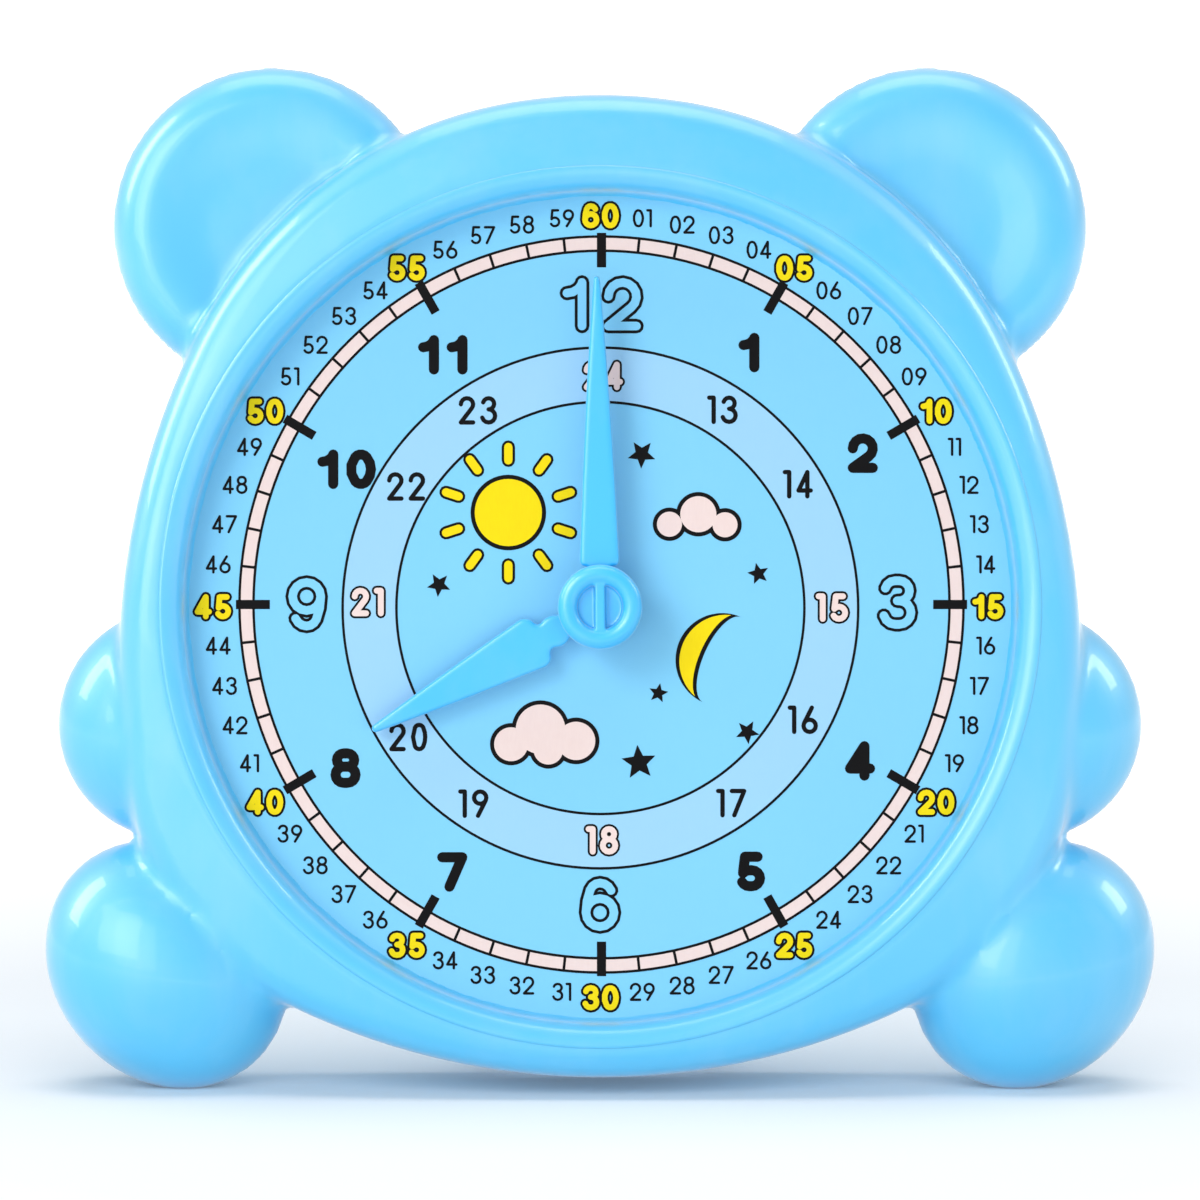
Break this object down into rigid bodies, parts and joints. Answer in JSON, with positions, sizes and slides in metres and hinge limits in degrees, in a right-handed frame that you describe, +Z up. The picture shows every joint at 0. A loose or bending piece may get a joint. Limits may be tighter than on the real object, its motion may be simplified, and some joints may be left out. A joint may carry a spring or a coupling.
{
  "type": "geared teaching clock",
  "caption": "Desk clock for teaching the time: hollow case with round ears, hands and feet, numbered dial, geared hour and minute hands, setting knob and fold-out leg.",
  "frame": {"origin": "middle of the footprint box, on the surface that the clock stands on", "axes": "+X to the viewer's right across the dial, +Y from the dial to the back, +Z up; the clock leans back 8 degrees about X onto its leg"},
  "size_m": [0.2002, 0.0582, 0.1821],
  "materials": {
    "case_blue": "gloss moulded ABS, sky blue",
    "hand_blue": "gloss moulded ABS, light sky blue",
    "dial_print": "printed and laminated card",
    "gear_white": "moulded acetal, natural",
    "bush_grey": "moulded acetal, grey",
    "steel": "ground steel",
    "spring_steel": "spring steel, blued grey",
    "zinc_screw": "zinc-plated steel"
  },
  "bodies": {
    "case": {"front_shell": "case_blue", "rear_cover": "case_blue", "case_screws": "zinc_screw", "dial_sheet": "dial_print", "hour_bush": "bush_grey", "gear_bridge": "gear_white", "bridge_screws": "zinc_screw", "arbor_bush": "bush_grey", "idler_stud": "steel", "leg_pin": "steel"},
    "minute_set": {"minute_arbor": "steel", "minute_pinion": "gear_white", "friction_washer": "spring_steel", "minute_hand": "hand_blue", "hub_cap": "hand_blue", "setting_knob": "case_blue", "knob_screw": "zinc_screw"},
    "idler": {"idler_gear": "gear_white"},
    "hour_set": {"hour_wheel": "gear_white", "hour_hand": "hand_blue"},
    "leg": {"stand_leg": "case_blue"}
  },
  "joints": [
    {"name": "minute_spin", "type": "hinge", "parent": "case", "child": "minute_set", "pos_m": [0, -0.00891, 0.08668], "axis": [0, 0.9903, -0.1392], "continuous": true},
    {"name": "idler_spin", "type": "hinge", "parent": "case", "child": "idler", "pos_m": [0.024, -0.00891, 0.08668], "axis": [0, 0.9903, -0.1392], "continuous": true},
    {"name": "hour_spin", "type": "hinge", "parent": "case", "child": "hour_set", "pos_m": [0, -0.00891, 0.08668], "axis": [0, 0.9903, -0.1392], "continuous": true},
    {"name": "leg_fold", "type": "hinge", "parent": "case", "child": "leg", "pos_m": [0, 0.00735, 0.05006], "axis": [1, 0, 0], "range_deg": [-22, 0]}
  ],
  "couplings": [
    {"joint": "idler_spin", "follows": "minute_spin", "ratio": -0.33333},
    {"joint": "hour_spin", "follows": "minute_spin", "ratio": 0.083333}
  ]
}
